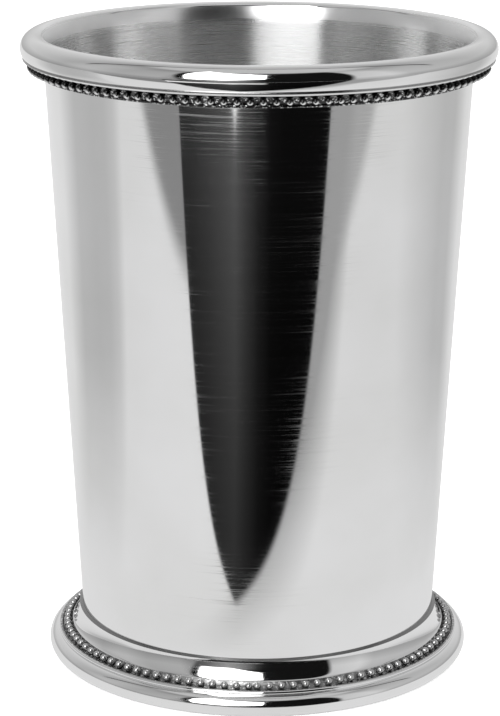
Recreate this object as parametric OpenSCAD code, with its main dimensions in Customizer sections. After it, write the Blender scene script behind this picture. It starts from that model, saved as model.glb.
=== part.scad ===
// Footed metal drinking cup with a beaded rim and a beaded foot.
// Millimetres. The cup stands on z = 0 and its axis is the Z axis.

/* [Cup] */
// Height over everything
cup_h = 111.6; // [95:0.1:130]
// Diameter over the rim roll
rim_d = 82.5; // [76:0.1:100]
// Outer diameter of the wall where it leaves the foot
wall_foot_d = 63.5; // [58:0.1:66]
// Thickness of the wall sheet
wall_t = 0.9; // [0.6:0.05:1.4]
// Thickness of the floor disc
floor_t = 1.2; // [0.8:0.1:2]
// Size of the solder fillet between floor and wall
floor_fillet = 0.8; // [0.4:0.1:1.5]

/* [Rim] */
// Diameter of the round section of the rim roll
roll_d = 5; // [4.4:0.1:6]
// How far the roll stands out from the wall
roll_overhang = 3.92; // [3.4:0.02:4.3]
// Angle below level at which the bead strip leaves the roll
rim_strip_angle = 42; // [40:1:46]
// How far the upper edge of the strip stands out from the roll
rim_strip_lip = 0.3; // [0.25:0.05:0.4]
// Drop from the middle of the roll to the lower edge of the bead strip
rim_strip_drop = 4.4; // [4.3:0.05:5]
// How far the lower edge of the strip stands out from the wall
rim_strip_edge = 0.8; // [0.7:0.05:1]
// Diameter of the smooth rail along the lower edge of the strip
rim_rail_d = 0.6; // [0.5:0.05:0.8]
// Width of the groove that the rim beads lie in
rim_groove_w = 2.8; // [2.6:0.05:2.8]
// Width of the solder fillet in the corner between roll and wall
rim_fillet_w = 0.8; // [0.5:0.05:1]
// How far that fillet reaches down below the roll
rim_fillet_drop = 0.4; // [0.2:0.05:0.5]

/* [Beads] */
// Diameter of one bead
bead_d = 1.25; // [1:0.05:1.4]
// Distance between bead centres, along the rim strip
rim_pitch = 2.1; // [1.9:0.01:2.8]
// Distance between bead centres, along the foot strip
foot_pitch = 2.09; // [1.9:0.01:2.8]
// Depth of the round groove that the beads lie in, under the face of the strip
groove_depth = 0.4; // [0.3:0.05:0.4]
// How far a bead is rooted in the bottom of the groove
bead_root = 0.1; // [0.1:0.05:0.2]

/* [Foot] */
// Diameter over the foot ring
foot_d = 75.6; // [72:0.1:84]
// Height of the foot up to where the wall leaves it
foot_h = 8.1; // [7.4:0.1:10]
// Diameter of the rounded edge of the foot ring
ring_round_d = 3.9; // [3.4:0.1:4.6]
// Height of the foot ring
ring_h = 3.5; // [3.2:0.1:3.8]
// Depth of the hollow under the floor
recess_h = 3; // [2:0.1:3.1]
// How far the ledge of the foot ring reaches in under the wall and floor
ledge_w = 2; // [1.5:0.1:4]
// Height of the bead strip above the foot ring
foot_strip_h = 1.5; // [1.4:0.05:1.7]
// Diameter of the top edge of the foot bead strip
foot_strip_d = 67.1; // [66.8:0.1:67.2]
// Diameter of the lower, outer edge of the foot bead strip
foot_strip_edge_d = 72.2; // [71.9:0.1:72.5]
// Width of the groove that the foot beads lie in
foot_groove_w = 2.05; // [1.9:0.05:2.1]
// Diameter of the smooth rail along the lower edge of the foot bead strip
foot_rail_d = 0.9; // [0.8:0.05:1]
// Radius of the hollow curve at the lower end of the collar's neck
cove_r = 1.6; // [1.3:0.1:1.9]
// Angle above level at which the hollow curve faces where it meets the bead strip
cove_end = 50; // [44:1:56]
// Width of the collar's upper edge
collar_edge = 0.6; // [0.4:0.05:0.8]
// Height of the solder fillet where the wall enters the foot
foot_fillet = 0.3; // [0.2:0.05:0.6]

/* [Fits] */
// Solder film between fitted pieces
solder_film = 0.02; // [0.01:0.01:0.06]

/* [Hidden] */
$fn = 180;
// Facets round one bead
bead_facets = 40;
silver = "#d6d7d8";
satin = "#c3c4c6";
solder = "#b4b5b7";

// Where along its face each bead row lies, from the upper edge of the strip
rim_row_share = 0.49;
foot_row_share = 0.386;
// Where along its face each lower rail lies
rim_rail_share = 0.9;
foot_rail_share = 0.86;
// Turn of the first rim bead from the front, as a share of the pitch
rim_turn_share = 0.34;
// Length of the one short gap where the foot strip's ends meet, as a share of the pitch
foot_join_share = 0.68;
// How far a straight face runs into the curve that it meets
overrun = 0.001;
// Turn about the axis that brings a piece's +X side to the front, -Y
front_turn = -90;

rim_r = rim_d / 2;
roll_r = roll_d / 2;
roll_mid_r = rim_r - roll_r;
roll_mid_z = cup_h - roll_r;
roll_low_z = roll_mid_z - roll_r;
foot_r = foot_d / 2;
ring_round_r = ring_round_d / 2;
ring_mid_r = foot_r - ring_round_r;
ring_mid_z = ring_h - ring_round_r;
floor_top = recess_h + floor_t;
foot_strip_top = ring_h + foot_strip_h;

// Outer face of the wall: a straight cone from the foot to the middle of the roll
wall_foot_r = wall_foot_d / 2;
wall_rim_r = rim_r - roll_overhang;
wall_slope = (wall_rim_r - wall_foot_r) / (roll_mid_z - foot_h);
wall_skew_t = wall_t * sqrt(1 + wall_slope * wall_slope);

function wall_out(z) = wall_foot_r + (z - foot_h) * wall_slope;
function wall_in(z) = wall_out(z) - wall_skew_t;
function wall_fit(z) = wall_out(z) + solder_film;
function floor_fit(z) = wall_in(z) - solder_film;
function between(a, b, share) = a + (b - a) * share;

// Faces of the two bead strips, each from its upper to its lower edge
rim_face = [
    [roll_mid_r, roll_mid_z] + (roll_r + rim_strip_lip) * [cos(rim_strip_angle), -sin(rim_strip_angle)],
    [wall_fit(roll_mid_z - rim_strip_drop) + rim_strip_edge, roll_mid_z - rim_strip_drop]
];
rim_fillet_out = wall_fit(roll_low_z) + rim_fillet_w;
rim_fillet_low = roll_low_z - rim_fillet_drop;
foot_strip_edge_r = foot_strip_edge_d / 2;
// The strip's lower edge ends on the ring's upper side, which is flat within ring_mid_r and round outside
foot_edge_out = max(foot_strip_edge_r - ring_mid_r, 0);
foot_edge_z = ring_mid_z + sqrt(pow(ring_round_r, 2) - pow(foot_edge_out, 2));
foot_seat_r = min(ring_mid_r, foot_strip_edge_r);
foot_face = [[foot_strip_d / 2, foot_strip_top], [foot_strip_edge_r, foot_edge_z]];

// Unit vector that points out of a strip's face, and a point beside that face
function face_out(face) = let (run = face[1] - face[0]) [-run[1], run[0]] / norm(run);
function groove_r(width) = (pow(width / 2, 2) + pow(groove_depth, 2)) / groove_depth / 2;
bead_lift = bead_d / 2 - groove_depth - bead_root;
function row_point(face, share, lift) = between(face[0], face[1], share) + face_out(face) * lift;

rim_row = row_point(rim_face, rim_row_share, bead_lift);
foot_row = row_point(foot_face, foot_row_share, bead_lift);

// The nearest even count, so that the side opposite to a strip's seam falls between beads as well
function even(count) = 2 * round(count / 2);
rim_beads = even(2 * PI * rim_row[0] / rim_pitch);
foot_beads = even(2 * PI * foot_row[0] / foot_pitch + 1 - foot_join_share);
rim_step = 360 / rim_beads;
foot_step = 360 / (foot_beads - 1 + foot_join_share);

// Middle of the hollow curve, and the straight neck that runs down into it
cove_mid = foot_face[0] + cove_r * [cos(cove_end), sin(cove_end)];
neck_top = [wall_fit(foot_h) + collar_edge, foot_h];
neck_reach = cove_mid - neck_top;
neck_turn = atan2(neck_reach[1], neck_reach[0]) - asin((cove_r - overrun) / norm(neck_reach));
neck_l = sqrt(pow(norm(neck_reach), 2) - pow(cove_r - overrun, 2));
neck_low = neck_top + neck_l * [cos(neck_turn), sin(neck_turn)];

module revolve() {
    rotate_extrude() children();
}

// Section of all that lies within the wall's outer face, above a height
module within_wall(z) {
    polygon([[0, z], [wall_fit(z), z], [wall_fit(cup_h), cup_h], [0, cup_h]]);
}

module roll_section(clear) {
    translate([roll_mid_r, roll_mid_z]) circle(r = roll_r + clear);
}

module ring_section(clear) {
    translate([ring_mid_r, ring_mid_z]) circle(r = ring_round_r + clear);
}

module rail(face, share, width) {
    translate(between(face[0], face[1], share)) circle(d = width);
}

module groove(face, share, width) {
    translate(row_point(face, share, groove_r(width) - groove_depth)) circle(r = groove_r(width));
}

// Beads whose seams face straight out of the strip, clear of its groove
module bead_row(face, at, count, step) {
    tilt = atan2(face_out(face)[1], face_out(face)[0]);
    for (i = [0 : count - 1])
        rotate([0, 0, front_turn + i * step]) translate([at[0], 0, at[1]])
            rotate([0, -tilt, 0]) sphere(d = bead_d, $fn = bead_facets);
}

// A revolved strip whose seam falls midway between the first two beads
module revolve_between_beads(step) {
    rotate([0, 0, front_turn + step / 2]) revolve() children();
}

module cup_wall() {
    color(satin) revolve() intersection() {
        polygon([
            [wall_in(recess_h), recess_h], [wall_out(recess_h), recess_h],
            [wall_out(cup_h), cup_h], [wall_in(cup_h), cup_h]
        ]);
        union() {
            square([rim_r, roll_mid_z]);
            roll_section(0);
        }
    }
}

module floor_disc() {
    color(satin) revolve() polygon([
        [0, recess_h], [floor_fit(recess_h), recess_h],
        [floor_fit(floor_top), floor_top], [0, floor_top]
    ]);
}

module rim_roll() {
    color(silver) revolve() difference() {
        roll_section(0);
        within_wall(foot_h);
    }
}

module rim_bead_strip() {
    color(silver) rotate([0, 0, rim_turn_share * rim_step]) union() {
        revolve_between_beads(rim_step) difference() {
            union() {
                polygon([
                    [wall_fit(rim_face[1][1]), rim_face[1][1]], rim_face[1], rim_face[0],
                    [rim_fillet_out, roll_mid_z], [rim_fillet_out, rim_fillet_low],
                    [wall_fit(rim_fillet_low), rim_fillet_low]
                ]);
                rail(rim_face, rim_rail_share, rim_rail_d);
            }
            roll_section(solder_film);
            groove(rim_face, rim_row_share, rim_groove_w);
        }
        bead_row(rim_face, rim_row, rim_beads, rim_step);
    }
}

module rim_solder() {
    color(solder) revolve() difference() {
        polygon([
            [wall_fit(rim_fillet_low), rim_fillet_low], [rim_fillet_out, rim_fillet_low],
            [rim_fillet_out, roll_mid_z], [wall_fit(roll_mid_z), roll_mid_z]
        ]);
        roll_section(solder_film);
    }
}

module foot_collar() {
    color(silver) revolve() difference() {
        polygon([
            [wall_fit(foot_strip_top), foot_strip_top], [cove_mid[0], foot_strip_top], cove_mid,
            neck_low, neck_top, [wall_fit(foot_h), foot_h]
        ]);
        translate(cove_mid) circle(r = cove_r);
    }
}

module foot_bead_strip() {
    color(silver) union() {
        revolve_between_beads(foot_step) difference() {
            union() {
                polygon([
                    [wall_fit(ring_h), ring_h], [foot_seat_r, ring_h], foot_face[1],
                    foot_face[0], [wall_fit(foot_strip_top), foot_strip_top]
                ]);
                rail(foot_face, foot_rail_share, foot_rail_d);
            }
            square([ring_mid_r, ring_h]);
            ring_section(solder_film);
            groove(foot_face, foot_row_share, foot_groove_w);
        }
        bead_row(foot_face, foot_row, foot_beads, foot_step);
    }
}

module foot_ring() {
    color(silver) revolve() difference() {
        union() {
            translate([wall_in(recess_h) - ledge_w, 0])
                square([ring_mid_r - wall_in(recess_h) + ledge_w, ring_h]);
            intersection() {
                ring_section(0);
                square([foot_r, ring_h]);
            }
        }
        within_wall(recess_h);
    }
}

module foot_solder() {
    color(solder) revolve() polygon([
        [wall_fit(foot_h), foot_h], neck_top,
        [wall_fit(foot_h + foot_fillet), foot_h + foot_fillet]
    ]);
}

module floor_solder() {
    color(solder) revolve() difference() {
        polygon([
            [floor_fit(floor_top) - floor_fillet, floor_top], [floor_fit(floor_top), floor_top],
            [floor_fit(floor_top + floor_fillet), floor_top + floor_fillet],
            [floor_fit(floor_top) - floor_fillet, floor_top + floor_fillet]
        ]);
        translate([floor_fit(floor_top) - floor_fillet, floor_top + floor_fillet])
            circle(r = floor_fillet);
    }
}

cup_wall();
floor_disc();
rim_roll();
rim_bead_strip();
rim_solder();
foot_collar();
foot_bead_strip();
foot_ring();
foot_solder();
floor_solder();
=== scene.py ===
"""Looks of a footed metal drinking cup with a beaded rim and a beaded foot.

Lengths named in millimetres are turned into metres by MM. The cup stands on z = 0, its axis is the
Z axis, and the photo's side faces -Y.
"""
import math

import bpy
from mathutils import Matrix, Vector


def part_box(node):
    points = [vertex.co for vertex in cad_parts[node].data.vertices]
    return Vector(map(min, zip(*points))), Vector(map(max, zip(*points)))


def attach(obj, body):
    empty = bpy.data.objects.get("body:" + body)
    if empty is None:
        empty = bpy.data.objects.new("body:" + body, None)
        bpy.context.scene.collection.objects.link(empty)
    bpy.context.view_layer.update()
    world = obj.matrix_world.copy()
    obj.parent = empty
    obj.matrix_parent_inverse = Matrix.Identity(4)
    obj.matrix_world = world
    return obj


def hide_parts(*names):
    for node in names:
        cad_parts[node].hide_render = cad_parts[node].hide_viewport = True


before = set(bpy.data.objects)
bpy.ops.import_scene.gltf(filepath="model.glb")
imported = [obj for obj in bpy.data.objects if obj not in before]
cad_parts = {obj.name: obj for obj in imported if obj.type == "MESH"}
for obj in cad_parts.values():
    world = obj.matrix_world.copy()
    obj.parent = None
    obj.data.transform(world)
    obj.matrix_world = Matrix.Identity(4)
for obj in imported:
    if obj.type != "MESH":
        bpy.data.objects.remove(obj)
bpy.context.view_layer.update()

MM = 0.001

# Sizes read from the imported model
ROLL_LOW, ROLL_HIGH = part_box("rim_roll")
RING_LOW, RING_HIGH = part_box("foot_ring")
COLLAR_LOW, COLLAR_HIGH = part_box("foot_collar")
FLOOR_LOW, FLOOR_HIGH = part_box("floor_disc")

CUP_H = ROLL_HIGH.z
RIM_R = (ROLL_HIGH.x - ROLL_LOW.x) / 2
ROLL_R = (ROLL_HIGH.z - ROLL_LOW.z) / 2
FOOT_R = (RING_HIGH.x - RING_LOW.x) / 2
RING_H = RING_HIGH.z
FOOT_H = COLLAR_HIGH.z
STRIP_TOP = COLLAR_LOW.z
RECESS_H = FLOOR_LOW.z
FLOOR_TOP = FLOOR_HIGH.z

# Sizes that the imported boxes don't give. The shares of a rail and a row are taken down a strip's face, those
# of a turn and a join along one bead's step, and that of the ledge across the strip's lip.
WALL_FOOT_R = 31.75 * MM
WALL_T = 0.9 * MM
ROLL_OVERHANG = 3.92 * MM
LEDGE_W = 2 * MM
RING_ROUND_R = 1.95 * MM
COLLAR_EDGE = 0.6 * MM
STRIP_TOP_R = 33.55 * MM
STRIP_EDGE_R = 36.1 * MM
FOOT_FILLET = 0.3 * MM
FLOOR_FILLET = 0.8 * MM
RIM_STRIP_ANGLE = 42
RIM_STRIP_LIP = 0.3 * MM
RIM_STRIP_DROP = 4.4 * MM
RIM_STRIP_EDGE = 0.8 * MM
RIM_FILLET_W = 0.8 * MM
RIM_FILLET_DROP = 0.4 * MM
RIM_RAIL_R = 0.3 * MM
FOOT_RAIL_R = 0.45 * MM
FOOT_RAIL_END = -45
RIM_RAIL_SHARE = 0.9
FOOT_RAIL_SHARE = 0.86
RIM_ROW_SHARE = 0.49
FOOT_ROW_SHARE = 0.386
RIM_TURN_SHARE = 0.34
RIM_LEDGE_SHARE = 0.7
BEAD_R = 0.625 * MM
RIM_PITCH = 2.1 * MM
FOOT_PITCH = 2.09 * MM
BEAD_ROOT = 0.1 * MM
RIM_GROOVE_W = 2.8 * MM
FOOT_GROOVE_W = 2.05 * MM
GROOVE_DEPTH = 0.4 * MM
FOOT_JOIN_SHARE = 0.68
FILM = 0.02 * MM

# The mouth's inner face: where its curve starts under the top, how far it follows the wall and the roll,
# and how far down its own finish reaches
LIP_START = 3.8 * MM
LIP_PULL = 1.6 * MM
LIP_END_PULL = 0.35 * MM
LIP_FINISH = 2.8 * MM

# The collar: the angles above level at which its neck and the end of its cove face, and their pulls
NECK_START = 7.5
NECK_PULL = 1.3 * MM
COVE_END = 50
COVE_PULL = 0.5 * MM

ROLL_MID = Vector((RIM_R - ROLL_R, CUP_H - ROLL_R))
RING_MID = Vector((FOOT_R - RING_ROUND_R, RING_H - RING_ROUND_R))
WALL_SLOPE = (RIM_R - ROLL_OVERHANG - WALL_FOOT_R) / (ROLL_MID.y - FOOT_H)
WALL_SKEW_T = WALL_T * math.hypot(1, WALL_SLOPE)
MOUTH_TOP = CUP_H - ROLL_R / 4

# Smoothness of the turned shapes
TURNS = 720
ARC_STEP = 4
SHARP = math.radians(28)
LIP_STEPS = 20
NECK_STEPS = 40
WALL_ROWS = 24
FLOOR_RINGS = 12
BEAD_RINGS = 14
BEAD_SIDES = 24
HIT_ROUNDS = 30


def wall_out(z):
    return WALL_FOOT_R + (z - FOOT_H) * WALL_SLOPE


def wall_in(z):
    return wall_out(z) - WALL_SKEW_T


def wall_fit(z):
    return wall_out(z) + FILM


def floor_fit(z):
    return wall_in(z) - FILM


def between(a, b, share):
    return a + (b - a) * share


def side_of(run):
    """Unit vector to the left of a run from one outline point to the next."""
    return Vector((-run.y, run.x)).normalized()


def arc(mid, radius, first, last):
    """Points on a circle in the section plane, from one angle in degrees to another."""
    steps = max(2, math.ceil(abs(last - first) / ARC_STEP))
    turns = [math.radians(first + (last - first) * i / steps) for i in range(steps + 1)]
    return [Vector((mid.x + radius * math.cos(t), mid.y + radius * math.sin(t))) for t in turns]


def angle_to(mid, point):
    return math.degrees(math.atan2(point.y - mid.y, point.x - mid.x))


def circle_hit(mid, radius, side, upper):
    """Where a circle meets the straight line r = side(z), on its upper or lower half."""
    z = mid.y
    for _ in range(HIT_ROUNDS):
        reach = math.sqrt(max(0, radius ** 2 - (side(z) - mid.x) ** 2))
        z = mid.y + (reach if upper else -reach)
    return Vector((side(z), z))


def turned(name, outlines):
    """A mesh turned round the Z axis from closed outlines in the section plane."""
    points = []
    faces = []
    for outline in outlines:
        rows = []
        for p in outline:
            rows.append(len(points))
            count = 1 if p.x < FILM / 2 else TURNS
            for k in range(count):
                turn = 2 * math.pi * k / TURNS
                points.append((p.x * math.cos(turn), p.x * math.sin(turn), p.y))
        for i, start in enumerate(rows):
            j = (i + 1) % len(rows)
            first_pole = outline[i].x < FILM / 2
            last_pole = outline[j].x < FILM / 2
            if first_pole and last_pole:
                continue
            for k in range(TURNS):
                n = (k + 1) % TURNS
                a = [start] if first_pole else [start + k, start + n]
                b = [rows[j]] if last_pole else [rows[j] + n, rows[j] + k]
                faces.append(a + b)
    return shaped(name, points, faces)


def shaped(name, points, faces):
    mesh = bpy.data.meshes.new(name)
    mesh.from_pydata(points, [], faces)
    mesh.validate()
    mesh.shade_smooth()
    mesh.set_sharp_from_angle(angle=SHARP)
    made = bpy.data.objects.new(name, mesh)
    bpy.context.scene.collection.objects.link(made)
    return made


def paint(piece, marks):
    """Give materials to the faces whose middle, in the section plane, passes the test that goes with each."""
    for material, chosen in marks:
        slot = len(piece.data.materials)
        piece.data.materials.append(material)
        for face in piece.data.polygons:
            if chosen(Vector((math.hypot(face.center.x, face.center.y), face.center.z))):
                face.material_index = slot


def ball_mesh(radius):
    """Points and faces of a ball round the origin."""
    rings = BEAD_RINGS
    sides = BEAD_SIDES
    points = [(0, 0, radius)]
    for i in range(1, rings):
        up = math.pi * i / rings
        for k in range(sides):
            turn = 2 * math.pi * k / sides
            flat = radius * math.sin(up)
            points.append((flat * math.cos(turn), flat * math.sin(turn), radius * math.cos(up)))
    points.append((0, 0, -radius))
    last = len(points) - 1
    faces = []
    for k in range(sides):
        n = (k + 1) % sides
        faces.append((0, 1 + k, 1 + n))
        for i in range(rings - 2):
            a = 1 + i * sides
            faces.append((a + k, a + sides + k, a + sides + n, a + n))
        tail = 1 + (rings - 2) * sides
        faces.append((tail + k, last, tail + n))
    return points, faces


def bead_row(name, at, count, step, first):
    """All beads of a strip, as one mesh. The first bead is turned from the front by a share of the step."""
    ball, ball_faces = ball_mesh(BEAD_R)
    points = []
    faces = []
    for i in range(count):
        turn = Matrix.Rotation(math.radians((i + first) * step - 90), 4, "Z")
        place = turn @ Matrix.Translation((at.x, 0, at.y))
        start = len(points)
        points += [place @ Vector(p) for p in ball]
        faces += [[start + v for v in face] for face in ball_faces]
    return shaped(name, points, faces)


def join(name, pieces):
    """One object from several, under a new name."""
    with bpy.context.temp_override(
        active_object=pieces[0], object=pieces[0],
        selected_objects=pieces, selected_editable_objects=pieces,
    ):
        bpy.ops.object.join()
    pieces[0].name = name
    pieces[0].data.name = name
    return pieces[0]


# The faces of the two bead strips, from their upper to their lower edge

RIM_FACE = (
    arc(ROLL_MID, ROLL_R + RIM_STRIP_LIP, -RIM_STRIP_ANGLE, -RIM_STRIP_ANGLE)[0],
    Vector((wall_fit(ROLL_MID.y - RIM_STRIP_DROP) + RIM_STRIP_EDGE, ROLL_MID.y - RIM_STRIP_DROP)),
)
STRIP_EDGE_OUT = STRIP_EDGE_R - RING_MID.x
FOOT_FACE = (
    Vector((STRIP_TOP_R, STRIP_TOP)),
    Vector((STRIP_EDGE_R, RING_MID.y + math.sqrt(RING_ROUND_R ** 2 - STRIP_EDGE_OUT ** 2))),
)


def row_point(face, share, lift):
    return between(face[0], face[1], share) + side_of(face[1] - face[0]) * lift


def groove_radius(width):
    return ((width / 2) ** 2 + GROOVE_DEPTH ** 2) / GROOVE_DEPTH / 2


def across_face(face, share, width, rail_share, rail_r, rail_end):
    """Outline points across a strip, over its groove and round its rail as far as an angle."""
    radius = groove_radius(width)
    middle = row_point(face, share, radius - GROOVE_DEPTH)
    rail = row_point(face, rail_share, 0)
    gap = (rail - middle).length
    to_rail = angle_to(middle, rail)
    meet = math.degrees(math.acos((radius ** 2 + gap ** 2 - rail_r ** 2) / (2 * radius * gap)))
    out = side_of(face[1] - face[0])
    half = math.degrees(math.acos((radius - GROOVE_DEPTH) / radius))
    first = math.degrees(math.atan2(-out.y, -out.x)) - half
    last = first + (to_rail - meet - first) % 360
    groove = arc(middle, radius, first, last)
    start = angle_to(rail, groove[-1])
    return groove + arc(rail, rail_r, start, start - (start - rail_end) % 360)


def inside_wall(point):
    return point.x < wall_out(point.y) - WALL_SKEW_T / 2 and point.y < CUP_H - LIP_FINISH


def on_mouth(point):
    return point.x < wall_out(point.y) - FILM and CUP_H - LIP_FINISH < point.y < MOUTH_TOP


def in_groove(face, share, width):
    """A test for faces that lie in the groove of a strip's face."""
    radius = groove_radius(width)
    middle = row_point(face, share, radius - GROOVE_DEPTH)
    return lambda point: (point - middle).length < radius + FILM / 10


def on_rim_ledge(point):
    """True for faces on the narrow ledge of the rim strip right under the roll, which take painted shade."""
    return 2 * FILM < (point - ROLL_MID).length - ROLL_R < RIM_LEDGE_SHARE * RIM_STRIP_LIP


def curve_between(start, pull, end_pull, end, steps):
    """Points of a cubic curve that leaves its start towards one point and reaches its end from another."""
    points = []
    for i in range(steps + 1):
        t = i / steps
        s = 1 - t
        points.append(start * s ** 3 + pull * 3 * s * s * t + end_pull * 3 * s * t * t + end * t ** 3)
    return points


def cup_wall():
    """The sheet wall. Its mouth opens smoothly from the wall's slope to the round of the roll."""
    low = Vector((wall_in(CUP_H - LIP_START), CUP_H - LIP_START))
    outer = circle_hit(ROLL_MID, ROLL_R, wall_out, True)
    pull = low + Vector((WALL_SLOPE, 1)).normalized() * LIP_PULL
    end_pull = outer + side_of(outer - ROLL_MID) * LIP_END_PULL
    lip = curve_between(low, pull, end_pull, outer, LIP_STEPS)
    rows = WALL_ROWS
    climb = [RECESS_H + (low.y - RECESS_H) * i / rows for i in range(rows)]
    drop = [outer.y + (RECESS_H - outer.y) * i / rows for i in range(1, rows + 1)]
    inside = [Vector((wall_in(z), z)) for z in climb]
    outside = [Vector((wall_out(z), z)) for z in drop]
    return turned("wall_sheet", [inside + lip + outside])


def floor_disc():
    rings = FLOOR_RINGS
    top = [Vector((floor_fit(FLOOR_TOP) * i / rings, FLOOR_TOP)) for i in range(rings, -1, -1)]
    under = [Vector((floor_fit(RECESS_H) * i / rings, RECESS_H)) for i in range(rings + 1)]
    return turned("floor_plate", [top + under])


def rim_roll():
    upper = circle_hit(ROLL_MID, ROLL_R, wall_fit, True)
    lower = circle_hit(ROLL_MID, ROLL_R, wall_fit, False)
    first = angle_to(ROLL_MID, upper)
    last = angle_to(ROLL_MID, lower) - (360 if angle_to(ROLL_MID, lower) > first else 0)
    return turned("rim_moulding", [arc(ROLL_MID, ROLL_R, first, last)])


def rim_fillet_edge():
    """Lower outer and lower inner corner of the fillet under the roll, and where its side meets the roll."""
    out = wall_fit(ROLL_MID.y - ROLL_R) + RIM_FILLET_W
    low = ROLL_MID.y - ROLL_R - RIM_FILLET_DROP
    seat = circle_hit(ROLL_MID, ROLL_R + FILM, lambda z: out, False)
    return Vector((out, low)), Vector((wall_fit(low), low)), seat


def rim_bead_strip():
    low = RIM_FACE[1].y
    rail_mid = row_point(RIM_FACE, RIM_RAIL_SHARE, 0)
    rail_end = math.degrees(math.asin((low - rail_mid.y) / RIM_RAIL_R))
    outer, inner, seat = rim_fillet_edge()
    run = (Vector((outer.x, ROLL_MID.y)) - RIM_FACE[0]).normalized()
    start = RIM_FACE[0] - ROLL_MID
    depth = -start.dot(run)
    reach = depth - math.sqrt(depth ** 2 - start.length_squared + (ROLL_R + FILM) ** 2)
    lip = RIM_FACE[0] + run * reach
    top = arc(ROLL_MID, ROLL_R + FILM, angle_to(ROLL_MID, seat), angle_to(ROLL_MID, lip))
    front = across_face(RIM_FACE, RIM_ROW_SHARE, RIM_GROOVE_W, RIM_RAIL_SHARE, RIM_RAIL_R, 180 - rail_end)
    outline = [inner, outer] + top + [RIM_FACE[0]] + front + [Vector((wall_fit(low), low))]
    return turned("rim_strip_ground", [outline])


def rim_solder():
    outer, inner, seat = rim_fillet_edge()
    upper = circle_hit(ROLL_MID, ROLL_R + FILM, wall_fit, False)
    toe = arc(ROLL_MID, ROLL_R + FILM, angle_to(ROLL_MID, upper), angle_to(ROLL_MID, seat))
    return turned("rim_fillet", [toe + [outer, inner]])


def foot_collar():
    """The cove, its neck hollowed a little by hand polishing."""
    top = Vector((wall_fit(FOOT_H) + COLLAR_EDGE, FOOT_H))
    end = FOOT_FACE[0]
    first = arc(top, NECK_PULL, NECK_START - 90, NECK_START - 90)[0]
    last = arc(end, COVE_PULL, COVE_END + 90, COVE_END + 90)[0]
    curve = curve_between(top, first, last, end, NECK_STEPS)
    back = [Vector((wall_fit(STRIP_TOP), STRIP_TOP)), Vector((wall_fit(FOOT_H), FOOT_H))]
    return turned("cove_moulding", [curve + back])


def foot_bead_strip():
    back = [
        arc(RING_MID, RING_ROUND_R + FILM, angle_to(RING_MID, FOOT_FACE[1]), 90)[-1],
        Vector((wall_fit(RING_H), RING_H)),
        Vector((wall_fit(STRIP_TOP), STRIP_TOP)),
    ]
    front = across_face(FOOT_FACE, FOOT_ROW_SHARE, FOOT_GROOVE_W, FOOT_RAIL_SHARE, FOOT_RAIL_R, FOOT_RAIL_END)
    return turned("foot_strip_ground", [[FOOT_FACE[0]] + front + back])


def foot_ring():
    ledge = wall_in(RECESS_H) - LEDGE_W
    base = math.degrees(math.asin(-RING_MID.y / RING_ROUND_R))
    outline = [Vector((ledge, 0)), Vector((ledge, RECESS_H)), Vector((wall_fit(RECESS_H), RECESS_H))]
    outline += [Vector((wall_fit(RING_H), RING_H))] + arc(RING_MID, RING_ROUND_R, 90, base)
    return turned("foot_moulding", [outline])


def foot_solder():
    low = Vector((wall_fit(FOOT_H), FOOT_H))
    return turned("foot_fillet", [[
        low, Vector((wall_fit(FOOT_H + FOOT_FILLET), FOOT_H + FOOT_FILLET)),
        Vector((low.x + COLLAR_EDGE, FOOT_H)),
    ]])


def floor_solder():
    mid = Vector((floor_fit(FLOOR_TOP) - FLOOR_FILLET, FLOOR_TOP + FLOOR_FILLET))
    corner = Vector((floor_fit(FLOOR_TOP), FLOOR_TOP))
    lip = Vector((floor_fit(mid.y), mid.y))
    return turned("floor_fillet", [arc(mid, FLOOR_FILLET, -90, 0) + [lip, corner]])


# Materials

# Noise of turned metal: how many waves a metre it has along the cup's width and across the rings, and the
# span of the noise over which each mark fades in
RINGS_ALONG = 12
SCRATCH_WAVES = (60, 5200)
SCRATCH_SPAN = (0.5, 0.75)
CLOUD_WAVES = (40, 40)
CLOUD_SPAN = (0.35, 0.7)
SPECK_SPAN = (0.54, 0.64)

# Tint of the bright and of the dulled metal, as shares of a metal's tone, and the tone of rubbed specks
BRIGHT_TINT = (1, 1, 1.005)
DULL_TINT = (0.93, 0.93, 0.925)
RUBBED_TONE = 0.8

# Tarnish and painted shade of a bead towards its root: their tone, and how far over the middle it is fully
# dark and fully bright
RIM_BEAD_TARNISH_AND_SHADE = (0.03, 0.25 * MM, 0.58 * MM)
FOOT_BEAD_TARNISH_AND_SHADE = (0.3, 0 * MM, 0.5 * MM)


def link(tree, a, out, b, socket):
    tree.links.new(a.outputs[out], b.inputs[socket])


def feed(tree, socket, value):
    """Give a socket its value, which is a number, a colour or another socket."""
    if isinstance(value, (int, float, tuple)):
        socket.default_value = value
    else:
        tree.links.new(value, socket)


def math_node(tree, operation, first, second=None):
    """A Math node on two inputs, each a socket or a number."""
    made = tree.nodes.new("ShaderNodeMath")
    made.operation = operation
    feed(tree, made.inputs[0], first)
    if second is not None:
        feed(tree, made.inputs[1], second)
    return made.outputs[0]


def blend(tree, share, base, top, kind="FLOAT"):
    """base where share is 0 and top where it is 1. Each of the two is a value or a socket."""
    made = tree.nodes.new("ShaderNodeMix")
    made.data_type = kind
    feed(tree, made.inputs["Factor"], share)
    feed(tree, made.inputs["A"], base)
    feed(tree, made.inputs["B"], top)
    return made.outputs["Result"]


def grey(tone, tint=(1, 1, 1)):
    return tuple(tone * share for share in tint) + (1,)


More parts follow.
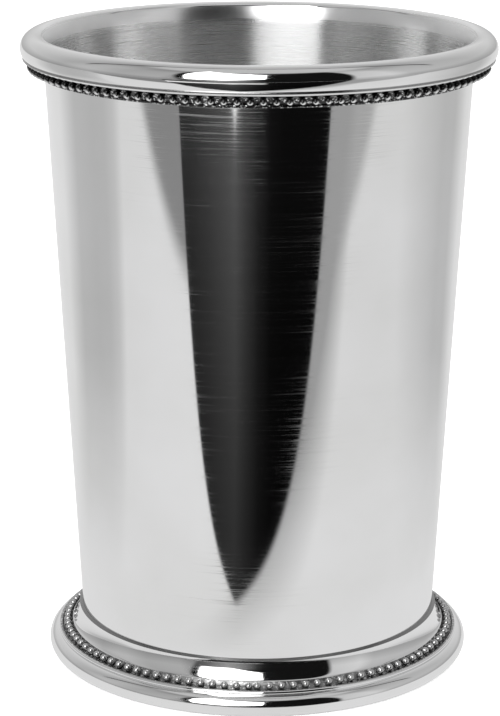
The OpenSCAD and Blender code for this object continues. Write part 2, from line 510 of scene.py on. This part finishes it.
def ring_coordinate(tree, around, across):
    """A texture coordinate that runs slowly round the axis and fast across the turned rings."""
    place = tree.nodes.new("ShaderNodeTexCoord").outputs["Object"]
    split = tree.nodes.new("ShaderNodeSeparateXYZ")
    tree.links.new(place, split.inputs[0])
    flat = tree.nodes.new("ShaderNodeCombineXYZ")
    tree.links.new(split.outputs["X"], flat.inputs["X"])
    tree.links.new(split.outputs["Y"], flat.inputs["Y"])
    length = tree.nodes.new("ShaderNodeVectorMath")
    length.operation = "LENGTH"
    tree.links.new(flat.outputs[0], length.inputs[0])
    rings = math_node(tree, "ADD", length.outputs["Value"], split.outputs["Z"])
    made = tree.nodes.new("ShaderNodeCombineXYZ")
    tree.links.new(math_node(tree, "MULTIPLY", split.outputs["X"], around), made.inputs["X"])
    tree.links.new(math_node(tree, "MULTIPLY", split.outputs["Y"], around), made.inputs["Y"])
    tree.links.new(math_node(tree, "MULTIPLY", rings, across), made.inputs["Z"])
    return made.outputs[0]


def noise(tree, vector, scale, detail=3):
    made = tree.nodes.new("ShaderNodeTexNoise")
    made.inputs["Scale"].default_value = scale
    made.inputs["Detail"].default_value = detail
    tree.links.new(vector, made.inputs["Vector"])
    return made.outputs["Fac"]


def spread(tree, value, low, high, to_low, to_high):
    made = tree.nodes.new("ShaderNodeMapRange")
    tree.links.new(value, made.inputs["Value"])
    for socket, number in zip(("From Min", "From Max", "To Min", "To Max"), (low, high, to_low, to_high)):
        made.inputs[socket].default_value = number
    return made.outputs["Result"]


def metal(name, tone, smooth, rough, aniso, ring_scale, bump, row=None, grain=0):
    """Turned metal whose fine lines run round the axis.

    smooth and rough bound the roughness, ring_scale is the number of lines a metre, and bump is their
    depth in metres. With a bead row, given as a point of the section plane, the direction in which its
    strip faces and its tarnish and painted shade, the metal is darker towards the strip, with tarnish and
    painted shade between and behind the beads. grain is the number of rubbed, bright specks a metre.
    """
    made = bpy.data.materials.new(name)
    made.use_nodes = True
    tree = made.node_tree
    shader = tree.nodes["Principled BSDF"]
    shader.inputs["Metallic"].default_value = 1
    shader.inputs["Anisotropic"].default_value = aniso
    shader.inputs["Anisotropic Rotation"].default_value = 0.25
    tangent = tree.nodes.new("ShaderNodeTangent")
    tangent.direction_type = "RADIAL"
    tangent.axis = "Z"
    link(tree, tangent, "Tangent", shader, "Tangent")

    fine = noise(tree, ring_coordinate(tree, RINGS_ALONG, ring_scale), 1, 4)
    scratches = spread(tree, noise(tree, ring_coordinate(tree, *SCRATCH_WAVES), 1), *SCRATCH_SPAN, 0, 1)
    cloud = spread(tree, noise(tree, ring_coordinate(tree, *CLOUD_WAVES), 1), *CLOUD_SPAN, 0, 1)
    wear = math_node(tree, "MULTIPLY", scratches, cloud)
    tree.links.new(spread(tree, wear, 0, 1, smooth, rough), shader.inputs["Roughness"])

    colour = blend(tree, cloud, grey(tone, BRIGHT_TINT), grey(tone, DULL_TINT), "RGBA")
    if grain:
        place = tree.nodes.new("ShaderNodeTexCoord").outputs["Object"]
        specks = spread(tree, noise(tree, place, grain, 2), *SPECK_SPAN, 0, 1)
        colour = blend(tree, specks, colour, grey(RUBBED_TONE), "RGBA")
    # Tarnish and painted shade: a bead is darker towards its root and bright only near its top
    if row is not None:
        middle, out, (dark_root_tone, bright_from, bright_to) = row
        bright_share = spread(tree, lift_over(tree, middle, out), bright_from, bright_to, 0, 1)
        colour = blend(tree, bright_share, grey(dark_root_tone), colour, "RGBA")
    tree.links.new(colour, shader.inputs["Base Color"])

    relief = tree.nodes.new("ShaderNodeBump")
    relief.inputs["Strength"].default_value = 1
    relief.inputs["Distance"].default_value = bump
    tree.links.new(fine, relief.inputs["Height"])
    link(tree, relief, "Normal", shader, "Normal")
    return made


def lift_over(tree, middle, out):
    """How far a point stands out, along a direction of the section plane, from a ring round the axis."""
    place = tree.nodes.new("ShaderNodeTexCoord").outputs["Object"]
    split = tree.nodes.new("ShaderNodeSeparateXYZ")
    tree.links.new(place, split.inputs[0])
    square_x = math_node(tree, "MULTIPLY", split.outputs["X"], split.outputs["X"])
    square_y = math_node(tree, "MULTIPLY", split.outputs["Y"], split.outputs["Y"])
    radius = math_node(tree, "SQRT", math_node(tree, "ADD", square_x, square_y))
    along_r = math_node(tree, "MULTIPLY", math_node(tree, "SUBTRACT", radius, middle.x), out.x)
    along_z = math_node(tree, "MULTIPLY", math_node(tree, "SUBTRACT", split.outputs["Z"], middle.y), out.y)
    return math_node(tree, "ADD", along_r, along_z)


# Stage

# Half the width of the floor and of the reflected table, the floor's tone, and its light to the camera
STAGE_HALF = 3
TABLE_HALF = 2.5
TABLE_LEVEL = 0.1 * MM
FLOOR_TONE = 0.8
FLOOR_ROUGH = 0.9
FLOOR_SEEN = 0.45


def flat_square(half, level):
    return [(-half, -half, level), (half, -half, level), (half, half, level), (-half, half, level)]


def plain_stage(name, points):
    mesh = bpy.data.meshes.new(name)
    mesh.from_pydata(points, [], [range(len(points))])
    made = bpy.data.objects.new(name, mesh)
    bpy.context.scene.collection.objects.link(made)
    return made


def add_floor():
    """A pale floor that shows white to the camera where no shadow falls on it."""
    floor = plain_stage("floor", flat_square(STAGE_HALF, 0))
    made = bpy.data.materials.new("floor_white")
    made.use_nodes = True
    tree = made.node_tree
    shader = tree.nodes["Principled BSDF"]
    shader.inputs["Base Color"].default_value = grey(FLOOR_TONE)
    shader.inputs["Roughness"].default_value = FLOOR_ROUGH
    shader.inputs["Specular IOR Level"].default_value = 0
    shader.inputs["Emission Color"].default_value = (1, 1, 1, 1)
    path = tree.nodes.new("ShaderNodeLightPath")
    seen = math_node(tree, "MULTIPLY", path.outputs["Is Camera Ray"], FLOOR_SEEN)
    tree.links.new(seen, shader.inputs["Emission Strength"])
    floor.data.materials.append(made)


def direction_angles(tree, vector):
    """Azimuth from the front (-Y) towards +X, and elevation, both in degrees."""
    split = tree.nodes.new("ShaderNodeSeparateXYZ")
    tree.links.new(vector, split.inputs[0])
    forward = math_node(tree, "MULTIPLY", split.outputs["Y"], -1)
    azimuth = math_node(tree, "ARCTAN2", split.outputs["X"], forward)
    climb = math_node(tree, "ARCSINE", split.outputs["Z"])
    to_degrees = 180 / math.pi
    return (
        math_node(tree, "MULTIPLY", azimuth, to_degrees),
        math_node(tree, "MULTIPLY", climb, to_degrees),
        split,
    )


def ramp(tree, value, stops):
    """Grey tones along a value: stops are (value, tone) pairs."""
    low = stops[0][0]
    high = stops[-1][0]
    made = tree.nodes.new("ShaderNodeValToRGB")
    made.color_ramp.interpolation = "LINEAR"
    tree.links.new(spread(tree, value, low, high, 0, 1), made.inputs["Fac"])
    places = made.color_ramp.elements
    while len(places) > 1:
        places.remove(places[-1])
    for i, (at, tone) in enumerate(stops):
        share = (at - low) / (high - low)
        spot = places[0] if i == 0 else places.new(share)
        spot.position = share
        spot.color = grey(tone)
    return made.outputs["Color"]


def within(tree, value, low, high, soft):
    """1 inside a span of a value and 0 outside, with soft edges."""
    rise = spread(tree, value, low - soft, low + soft, 0, 1)
    fall = spread(tree, value, high - soft, high + soft, 1, 0)
    return math_node(tree, "MULTIPLY", rise, fall)


def between_edges(tree, value, other, low, high, soft):
    """1 where a value lies between two edges that move with another value, with soft edges."""
    sides = []
    for start, change in (low, high):
        edge = math_node(tree, "ADD", math_node(tree, "MULTIPLY", other, change), start)
        sides.append(spread(tree, math_node(tree, "SUBTRACT", value, edge), -soft, soft, 0, 1))
    return math_node(tree, "MULTIPLY", sides[0], math_node(tree, "SUBTRACT", 1, sides[1]))


ZENITH = 90

# Room tones round the cup, by azimuth from the front in degrees, and their strength by elevation
SIDE_TONES = [
    (-180, 0.74), (-140, 0.60), (-109, 0.44), (-95, 0.50), (-87, 0.50), (-71, 0.42), (-48, 0.44),
    (-41, 0.34), (40, 0.34), (47, 0.60), (66, 0.68), (76, 0.52), (95, 0.50), (125, 0.50), (180, 0.74),
]
HEIGHT_TONES = [(-10, 1), (0, 0.7), (14, 1), (45, 0.9), (60, 0.64), (90, 0.64)]

# Edges of the softbox and of the dark opening round it: a value in degrees at azimuth or elevation 0, and
# its change for each degree of the other angle
SOFTBOX_LEFT = (-32, -0.21)
SOFTBOX_RIGHT = (2, 0.045)
SOFTBOX_LOW = (19.5, 0.5)
SOFTBOX_LOW_LEFT = 11.5
SOFTBOX_HIGH = (53.4, -0.35)
DARK_LEFT = (-37, -0.21)
DARK_RIGHT = (44, 0.12)
SOFTBOX_LIGHT = 3.5
DARK_TONE = 0.006

# How soft the room's edges are, in degrees
SOFTBOX_SIDE_SOFT = 0.5
SOFTBOX_SOFT = 1
OPENING_SOFT = 1.5
GLOW_SOFT = 2
CEILING_SOFT = 3

# Tones to diffuse light and to the camera
DIFFUSE_TONE = 0.55
CAMERA_TONE = 1.0

# Glow below the softbox, by azimuth, up to an elevation
GLOW_TONES = [
    (-60, 0.02), (-40, 0.06), (-30, 0.14), (-18, 0.32), (-10, 0.24), (-5, 0.14), (0, 0.04), (4, 0.012),
    (8, 0.006), (60, 0.006),
]
GLOW_HIGH = 14

# The ceiling, from an elevation, and a dark bar across it behind the cup: how far behind the zenith, as
# shares of its height, and from which elevation
CEILING_FROM = 63
CEILING_TONE = 0.54
BAR_SHARES = (-0.33, -0.25)
BAR_SOFT = 0.02
BAR_TONE = 0.08
BAR_FROM = 34
BAR_FROM_SOFT = 6

# The table as the metal sees it: tones by azimuth, raised close to the cup, and grey far ahead of it
FLOOR_TONES = [
    (-180, 0.82), (-132, 0.74), (-114, 0.50), (-98, 0.47), (-88, 0.48), (-81, 0.55), (-76, 0.70),
    (-30, 0.75), (40, 0.71), (80, 0.69), (95, 0.60), (115, 0.50), (128, 0.50), (145, 0.72), (180, 0.82),
]
NEAR_TONE = 0.74
NEAR_FADE = (0.06, 0.2)
FAR_FROM = 200 * MM
FAR_SOFT = 12 * MM
FAR_LEFT_TONE = 0.24
FAR_RIGHT_TONE = 0.40
HALF_SHADOW_TONE = 0.34

# Lines on the table that start in the corner of its dark gap: how far each moves to the right a metre
# ahead, and how soft it is
GAP_ACROSS = -12.5 * MM
GAP_AHEAD = 67.5 * MM
GAP_LEFT = (-1.06, 1.2 * MM)
GAP_RIGHT = (0.99, 2.5 * MM)
HALF_SHADOW_LEFT = (0.5, 8 * MM)
HALF_SHADOW_RIGHT = (1.6, 34 * MM)
FAR_SPLIT = (0, 30 * MM)

# Glow in the dark gap, by azimuth, and its strength from near to far
SHEEN_TONES = [
    (-60, 0.01), (-42, 0.012), (-34, 0.017), (-26, 0.026), (-12, 0.05), (-6, 0.026), (0, 0.009), (6, 0.003),
    (13, 0.002), (30, 0.002),
]
SHEEN_REACH = (0.1, 0.36)
SHEEN_STRENGTH = (0.6, 1.7)

# A bright streak across the gap: the azimuth at which it starts nearest, its distance there and at most,
# the change of that distance a degree, and its ends
STREAK_AZIMUTH = -12
STREAK_NEAR = 0.385
STREAK_FAR = 0.45
STREAK_CHANGE = 0.014
STREAK_START_SOFT = 0.012
STREAK_SPAN = (-90, 3, 1)
STREAK_REACH = (0, 0.8, 0.05)
STREAK_TONE = 0.95


def set_world():
    """White to the camera, plain grey to diffuse light, and a studio room to glossy rays."""
    world = bpy.data.worlds.new("room")
    bpy.context.scene.world = world
    world.use_nodes = True
    tree = world.node_tree
    back = tree.nodes["Background"]
    place = tree.nodes.new("ShaderNodeTexCoord").outputs["Generated"]
    azimuth, climb, split = direction_angles(tree, place)

    sides = math_node(tree, "MULTIPLY", ramp(tree, azimuth, SIDE_TONES), ramp(tree, climb, HEIGHT_TONES))
    overhead = spread(tree, climb, CEILING_FROM - CEILING_SOFT, CEILING_FROM + CEILING_SOFT, 0, 1)
    room = blend(tree, overhead, sides, CEILING_TONE)

    forward = math_node(tree, "MULTIPLY", split.outputs["Y"], -1)
    ahead = math_node(tree, "DIVIDE", forward, split.outputs["Z"])
    across_bar = within(tree, ahead, *BAR_SHARES, BAR_SOFT)
    bar = math_node(tree, "MULTIPLY", across_bar, within(tree, climb, BAR_FROM, ZENITH, BAR_FROM_SOFT))
    room = blend(tree, bar, room, BAR_TONE)

    opening = between_edges(tree, azimuth, climb, DARK_LEFT, DARK_RIGHT, OPENING_SOFT)
    below_ceiling = within(tree, climb, -ZENITH, CEILING_FROM, CEILING_SOFT)
    opening = math_node(tree, "MULTIPLY", opening, below_ceiling)
    low = within(tree, climb, -ZENITH, GLOW_HIGH, GLOW_SOFT)
    glow = blend(tree, low, DARK_TONE, ramp(tree, azimuth, GLOW_TONES))
    room = blend(tree, opening, room, glow)

    box_width = between_edges(tree, azimuth, climb, SOFTBOX_LEFT, SOFTBOX_RIGHT, SOFTBOX_SIDE_SOFT)
    box_height = between_edges(tree, climb, azimuth, SOFTBOX_LOW, SOFTBOX_HIGH, SOFTBOX_SOFT)
    softbox = math_node(tree, "MULTIPLY", box_width, box_height)
    box_low = within(tree, climb, SOFTBOX_LOW_LEFT, ZENITH, SOFTBOX_SOFT)
    softbox = math_node(tree, "MULTIPLY", softbox, box_low)
    room = blend(tree, softbox, room, SOFTBOX_LIGHT)

    path = tree.nodes.new("ShaderNodeLightPath")
    plain = blend(tree, path.outputs["Is Glossy Ray"], DIFFUSE_TONE, room)
    seen = blend(tree, path.outputs["Is Camera Ray"], plain, CAMERA_TONE)
    tree.links.new(seen, back.inputs["Color"])


def soft_step(tree, value, soft):
    """0 below zero and 1 above it, with a soft edge."""
    return spread(tree, value, -soft, soft, 0, 1)


def past_line(tree, ahead, across, slope, soft):
    """1 on the cup's right of a line from the gap's corner that moves slope to the right a metre ahead."""
    run = math_node(tree, "SUBTRACT", ahead, GAP_AHEAD)
    line = math_node(tree, "ADD", math_node(tree, "MULTIPLY", run, slope), GAP_ACROSS)
    return soft_step(tree, math_node(tree, "SUBTRACT", across, line), soft)


def between_lines(tree, ahead, across, left, right):
    """1 between two lines from the gap's corner, each given as its slope and softness."""
    before = math_node(tree, "SUBTRACT", 1, past_line(tree, ahead, across, *right))
    return math_node(tree, "MULTIPLY", past_line(tree, ahead, across, *left), before)


def add_reflected_floor():
    """What the metal sees of the table: pale, with a dark corner that opens towards the camera."""
    card = plain_stage("reflected_floor", flat_square(TABLE_HALF, TABLE_LEVEL))
    for ray in ("camera", "diffuse", "transmission", "volume_scatter", "shadow"):
        setattr(card, "visible_" + ray, False)
    made = bpy.data.materials.new("reflected_floor")
    made.use_nodes = True
    tree = made.node_tree
    tree.nodes.remove(tree.nodes["Principled BSDF"])
    glow = tree.nodes.new("ShaderNodeEmission")
    link(tree, glow, "Emission", tree.nodes["Material Output"], "Surface")
    place = tree.nodes.new("ShaderNodeTexCoord").outputs["Object"]
    azimuth, _, split = direction_angles(tree, place)
    across = split.outputs["X"]
    ahead = math_node(tree, "MULTIPLY", split.outputs["Y"], -1)
    pale = ramp(tree, azimuth, FLOOR_TONES)
    near_tone = math_node(tree, "MAXIMUM", pale, NEAR_TONE)
    flat = tree.nodes.new("ShaderNodeVectorMath")
    flat.operation = "LENGTH"
    tree.links.new(place, flat.inputs[0])
    distance = flat.outputs["Value"]
    floor_tone = blend(tree, spread(tree, distance, *NEAR_FADE, 0, 1), near_tone, pale)

    # Grey strips: everything far ahead of the cup, and a half shadow to the right of the dark corner
    far = soft_step(tree, math_node(tree, "SUBTRACT", ahead, FAR_FROM), FAR_SOFT)
    far_tone = blend(tree, past_line(tree, ahead, across, *FAR_SPLIT), FAR_LEFT_TONE, FAR_RIGHT_TONE)
    floor_tone = blend(tree, far, floor_tone, far_tone)
    half_shadow = between_lines(tree, ahead, across, HALF_SHADOW_LEFT, HALF_SHADOW_RIGHT)
    floor_tone = blend(tree, half_shadow, floor_tone, HALF_SHADOW_TONE)

    # The dark corner, with the glow of the softbox on its left part
    gap = between_lines(tree, ahead, across, GAP_LEFT, GAP_RIGHT)
    strength = spread(tree, distance, *SHEEN_REACH, *SHEEN_STRENGTH)
    sheen = math_node(tree, "MULTIPLY", ramp(tree, azimuth, SHEEN_TONES), strength)
    off_streak = math_node(tree, "ABSOLUTE", math_node(tree, "SUBTRACT", azimuth, STREAK_AZIMUTH))
    start = math_node(tree, "ADD", math_node(tree, "MULTIPLY", off_streak, STREAK_CHANGE), STREAK_NEAR)
    start = math_node(tree, "MINIMUM", start, STREAK_FAR)
    streak = soft_step(tree, math_node(tree, "SUBTRACT", distance, start), STREAK_START_SOFT)
    streak = math_node(tree, "MULTIPLY", streak, within(tree, azimuth, *STREAK_SPAN))
    streak = math_node(tree, "MULTIPLY", streak, within(tree, distance, *STREAK_REACH))
    sheen = blend(tree, streak, sheen, STREAK_TONE)
    tree.links.new(blend(tree, gap, floor_tone, sheen), glow.inputs["Color"])
    card.data.materials.append(made)


# Plain lamps, which the metal doesn't see: name, place and power in watts
LAMP_SIZE = 0.9
LAMPS = [
    ("lamp_left", (-0.7, -0.5, 1.1), 9),
    ("lamp_right", (0.8, -0.3, 1.0), 7),
    ("lamp_back", (0.1, 0.8, 1.0), 6),
]


def add_lamp(name, place, power):
    light = bpy.data.lights.new(name, "AREA")
    light.shape = "DISK"
    light.size = LAMP_SIZE
    light.energy = power
    made = bpy.data.objects.new(name, light)
    made.location = place
    made.rotation_euler = (Vector((0, 0, 0)) - Vector(place)).to_track_quat("-Z", "Y").to_euler()
    made.visible_glossy = False
    bpy.context.scene.collection.objects.link(made)


def add_camera():
    """The photo's camera, worked out from the circles of the rim, the wall and the foot."""
    distance = 455.5 * MM
    height = 176.35 * MM
    pitch = math.radians(15.14)
    roll = math.radians(0.138)
    yaw = math.radians(-0.182)
    photo_height_px = 716
    focal_px = 2647
    data = bpy.data.cameras.new("camera")
    data.sensor_fit = "VERTICAL"
    data.sensor_height = 36
    data.lens = data.sensor_height * focal_px / photo_height_px
    data.clip_start = 0.01
    ahead = Vector((math.sin(yaw) * math.cos(pitch), math.cos(yaw) * math.cos(pitch), -math.sin(pitch)))
    level = Vector((math.cos(yaw), -math.sin(yaw), 0))
    above = level.cross(ahead)
    right = level * math.cos(roll) + above * math.sin(roll)
    up = above * math.cos(roll) - level * math.sin(roll)
    made = bpy.data.objects.new("camera", data)
    turn = Matrix((right, up, -ahead)).transposed().to_4x4()
    made.matrix_world = Matrix.Translation((0, -distance, height)) @ turn
    bpy.context.scene.collection.objects.link(made)
    bpy.context.scene.camera = made


bpy.context.scene.view_settings.view_transform = "Standard"
add_camera()
add_floor()
add_reflected_floor()
set_world()
for name, place, power in LAMPS:
    add_lamp(name, place, power)

rim_row = row_point(RIM_FACE, RIM_ROW_SHARE, BEAD_R - GROOVE_DEPTH - BEAD_ROOT)
rim_count = 2 * round(math.pi * rim_row.x / RIM_PITCH)
foot_row = row_point(FOOT_FACE, FOOT_ROW_SHARE, BEAD_R - GROOVE_DEPTH - BEAD_ROOT)
foot_count = 2 * round((2 * math.pi * foot_row.x / FOOT_PITCH + 1 - FOOT_JOIN_SHARE) / 2)
foot_step = 360 / (foot_count - 1 + FOOT_JOIN_SHARE)
RIM_OUT = side_of(RIM_FACE[1] - RIM_FACE[0])
FOOT_OUT = side_of(FOOT_FACE[1] - FOOT_FACE[0])

POLISHED = metal("polished_silver", 0.95, 0.05, 0.3, 0.6, 9000, 0.0004 * MM)
INSIDE = metal("inside_silver", 0.88, 0.27, 0.36, 1, 14000, 0.0012 * MM)
MOUTH = metal("mouth_silver", 0.97, 0.29, 0.34, 0.8, 14000, 0.0005 * MM)
MIRROR = metal("mirror_silver", 0.94, 0.05, 0.2, 0.2, 7000, 0.0002 * MM)
SATIN = metal("satin_silver", 0.86, 0.26, 0.38, 0.7, 12000, 0.003 * MM)
SOLDER = metal("soft_solder", 0.8, 0.2, 0.3, 0.1, 6000, 0.002 * MM)
# Tarnish with painted shade in the rim strip's groove, between and behind the beads; its bright specks are
# rubbed wear
RIM_TARNISH_AND_SHADE = metal("rim_tarnish_and_shade", 0.06, 0.2, 0.35, 0.1, 6000, 0.001 * MM, grain=2600)
# Tarnish with painted shade in the foot strip's groove, between and behind the beads; its bright specks are
# rubbed wear
FOOT_TARNISH_AND_SHADE = metal("foot_tarnish_and_shade", 0.3, 0.3, 0.45, 0.1, 6000, 0.001 * MM, grain=2200)
# Painted shade on the narrow ledge under the roll's overhang
LEDGE_SHADE = metal("strip_ledge_shade", 0.55, 0.25, 0.35, 0.1, 6000, 0.001 * MM)
# Painted shade in the crease where the foot's fillet sits between the wall and the collar
CREVICE_SHADE = metal("crevice_shade", 0.28, 0.25, 0.35, 0.1, 6000, 0.001 * MM)
RIM_BEAD = metal(
    "rim_bead_silver", 0.94, 0.08, 0.2, 0, 7000, 0.0002 * MM, (rim_row, RIM_OUT, RIM_BEAD_TARNISH_AND_SHADE),
)
FOOT_BEAD = metal(
    "foot_bead_silver", 0.66, 0.26, 0.36, 0, 7000, 0.0002 * MM, (foot_row, FOOT_OUT, FOOT_BEAD_TARNISH_AND_SHADE),
)

rim_beads = bead_row("beads", rim_row, rim_count, 360 / rim_count, RIM_TURN_SHARE)
foot_beads = bead_row("beads", foot_row, foot_count, foot_step, 0)

PIECES = [
    (cup_wall(), "cup_wall", POLISHED, "polished_silver"),
    (floor_disc(), "floor_disc", SATIN, "satin_silver"),
    (rim_roll(), "rim_roll", MIRROR, "polished_silver"),
    (rim_bead_strip(), "rim_bead_strip", MIRROR, "polished_silver"),
    (rim_solder(), "rim_solder", SOLDER, "solder"),
    (foot_collar(), "foot_collar", MIRROR, "polished_silver"),
    (foot_bead_strip(), "foot_bead_strip", MIRROR, "polished_silver"),
    (foot_ring(), "foot_ring", MIRROR, "polished_silver"),
    (foot_solder(), "foot_solder", CREVICE_SHADE, "solder"),
    (floor_solder(), "floor_solder", SOLDER, "solder"),
]
# Faces that take another material: the inner and mouth finishes, tarnish with painted shade in the grooves,
# and painted shade on the rim's ledge
MARKED = {
    "cup_wall": [(INSIDE, inside_wall), (MOUTH, on_mouth)],
    "rim_bead_strip": [
        (RIM_TARNISH_AND_SHADE, in_groove(RIM_FACE, RIM_ROW_SHARE, RIM_GROOVE_W)), (LEDGE_SHADE, on_rim_ledge),
    ],
    "foot_bead_strip": [(FOOT_TARNISH_AND_SHADE, in_groove(FOOT_FACE, FOOT_ROW_SHARE, FOOT_GROOVE_W))],
}
BEADS = {"rim_bead_strip": (rim_beads, RIM_BEAD), "foot_bead_strip": (foot_beads, FOOT_BEAD)}
for piece, node, material, slot in PIECES:
    piece.data.materials.append(material)
    if node in MARKED:
        paint(piece, MARKED[node])
    if node in BEADS:
        beads, bead_material = BEADS[node]
        beads.data.materials.append(bead_material)
        piece = join(piece.name, [piece, beads])
    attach(piece, "root")
    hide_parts(node)
